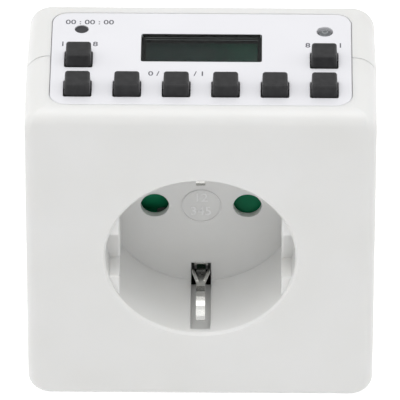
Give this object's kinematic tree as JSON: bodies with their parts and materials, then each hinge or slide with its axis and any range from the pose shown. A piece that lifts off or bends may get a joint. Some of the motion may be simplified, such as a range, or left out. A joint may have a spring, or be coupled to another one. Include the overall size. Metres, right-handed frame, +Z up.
{
  "type": "plug-in timer switch",
  "caption": "Square plug-in digital timer switch: round earthed socket well with pin shutter in front, display and push buttons on top, earthed plug behind.",
  "frame": {"origin": "on the flat underside, at mid width and at mid depth of the square body", "axes": "+Z up from the underside to the buttons; +Y from the socket face to the plug, the way the pins point; +X to the right seen from the socket face"},
  "size_m": [0.071, 0.0745, 0.0746],
  "materials": {
    "housing_white": "fine satin, near white",
    "panel_white": "fine satin, cool white",
    "cap_smoke": "glossy dark grey",
    "window_clear": "clear, polished",
    "display_glass": "dark green, polished",
    "foil_silver": "brushed foil",
    "holder_black": "matt black",
    "rubber_pink": "soft, matt",
    "board_green": "solder mask",
    "plastic_black": "matt black",
    "plunger_grey": "satin grey",
    "lamp_clear": "milky, polished",
    "lead_tin": "tinned wire",
    "steel_zinc": "zinc plated",
    "nickel": "nickel plated",
    "contact_brass": "stamped sheet",
    "shutter_green": "dark green, polished",
    "carrier_grey": "satin grey",
    "epoxy_black": "poured resin",
    "relay_blue": "moulded blue",
    "film_yellow": "moulded yellow",
    "can_sleeve": "shrink sleeve",
    "disc_blue": "dipped epoxy",
    "cable_grey": "soft insulation"
  },
  "bodies": {
    "housing": {"front_shell": "housing_white", "rear_shell": "housing_white", "plug_body": "housing_white", "control_panel": "panel_white", "display_window": "window_clear", "display_front_glass": "display_glass", "display_rear_glass": "display_glass", "display_reflector": "foil_silver", "display_holder": "holder_black", "display_connectors": "rubber_pink", "control_board": "board_green", "power_board": "board_green", "board_screws": "steel_zinc", "closing_screws": "steel_zinc", "plate_screws": "steel_zinc", "switch_bodies": "plastic_black", "status_light": "lamp_clear", "status_light_legs": "lead_tin", "backup_cell": "nickel", "controller_chip": "epoxy_black", "timing_crystal": "nickel", "contact_plate": "carrier_grey", "shutter_spring": "steel_zinc", "neutral_contact": "contact_brass", "live_contact": "contact_brass", "live_feed_strap": "contact_brass", "earth_strip_top": "nickel", "earth_strip_bottom": "nickel", "earth_bridge": "nickel", "plug_pin_left": "nickel", "plug_pin_right": "nickel", "pin_block": "plastic_black", "relay": "relay_blue", "mains_capacitor": "film_yellow", "smoothing_capacitor": "can_sleeve", "fuse": "plastic_black", "varistor": "disc_blue", "rectifier_diodes": "epoxy_black", "link_cable": "cable_grey"},
    "button_1": {"button_1": "cap_smoke", "plunger_1": "plunger_grey"},
    "button_2": {"button_2": "cap_smoke", "plunger_2": "plunger_grey"},
    "button_3": {"button_3": "cap_smoke", "plunger_3": "plunger_grey"},
    "button_4": {"button_4": "cap_smoke", "plunger_4": "plunger_grey"},
    "button_5": {"button_5": "cap_smoke", "plunger_5": "plunger_grey"},
    "button_6": {"button_6": "cap_smoke", "plunger_6": "plunger_grey"},
    "button_7": {"button_7": "cap_smoke", "plunger_7": "plunger_grey"},
    "button_8": {"button_8": "cap_smoke", "plunger_8": "plunger_grey"},
    "reset": {"reset_button": "cap_smoke", "reset_plunger": "plunger_grey"},
    "shutter": {"shutter": "shutter_green"}
  },
  "joints": [
    {"name": "button_1_press", "type": "slide", "parent": "housing", "child": "button_1", "axis": [0, 0, -1], "range_m": [0, 0.0008], "stiffness_N_per_m": 3000, "springref_m": -0.0002},
    {"name": "button_2_press", "type": "slide", "parent": "housing", "child": "button_2", "axis": [0, 0, -1], "range_m": [0, 0.0008], "stiffness_N_per_m": 3000, "springref_m": -0.0002},
    {"name": "button_3_press", "type": "slide", "parent": "housing", "child": "button_3", "axis": [0, 0, -1], "range_m": [0, 0.0008], "stiffness_N_per_m": 3000, "springref_m": -0.0002},
    {"name": "button_4_press", "type": "slide", "parent": "housing", "child": "button_4", "axis": [0, 0, -1], "range_m": [0, 0.0008], "stiffness_N_per_m": 3000, "springref_m": -0.0002},
    {"name": "button_5_press", "type": "slide", "parent": "housing", "child": "button_5", "axis": [0, 0, -1], "range_m": [0, 0.0008], "stiffness_N_per_m": 3000, "springref_m": -0.0002},
    {"name": "button_6_press", "type": "slide", "parent": "housing", "child": "button_6", "axis": [0, 0, -1], "range_m": [0, 0.0008], "stiffness_N_per_m": 3000, "springref_m": -0.0002},
    {"name": "button_7_press", "type": "slide", "parent": "housing", "child": "button_7", "axis": [0, 0, -1], "range_m": [0, 0.0008], "stiffness_N_per_m": 3000, "springref_m": -0.0002},
    {"name": "button_8_press", "type": "slide", "parent": "housing", "child": "button_8", "axis": [0, 0, -1], "range_m": [0, 0.0008], "stiffness_N_per_m": 3000, "springref_m": -0.0002},
    {"name": "reset_press", "type": "slide", "parent": "housing", "child": "reset", "axis": [0, 0, -1], "range_m": [0, 0.0008], "stiffness_N_per_m": 3000, "springref_m": -0.0002},
    {"name": "shutter_turn", "type": "hinge", "parent": "housing", "child": "shutter", "pos_m": [0, 0.0017, 0.03545], "axis": [0, 1, 0], "range_deg": [0, 38], "stiffness_Nm_per_rad": 0.003, "springref_deg": -8.59}
  ]
}
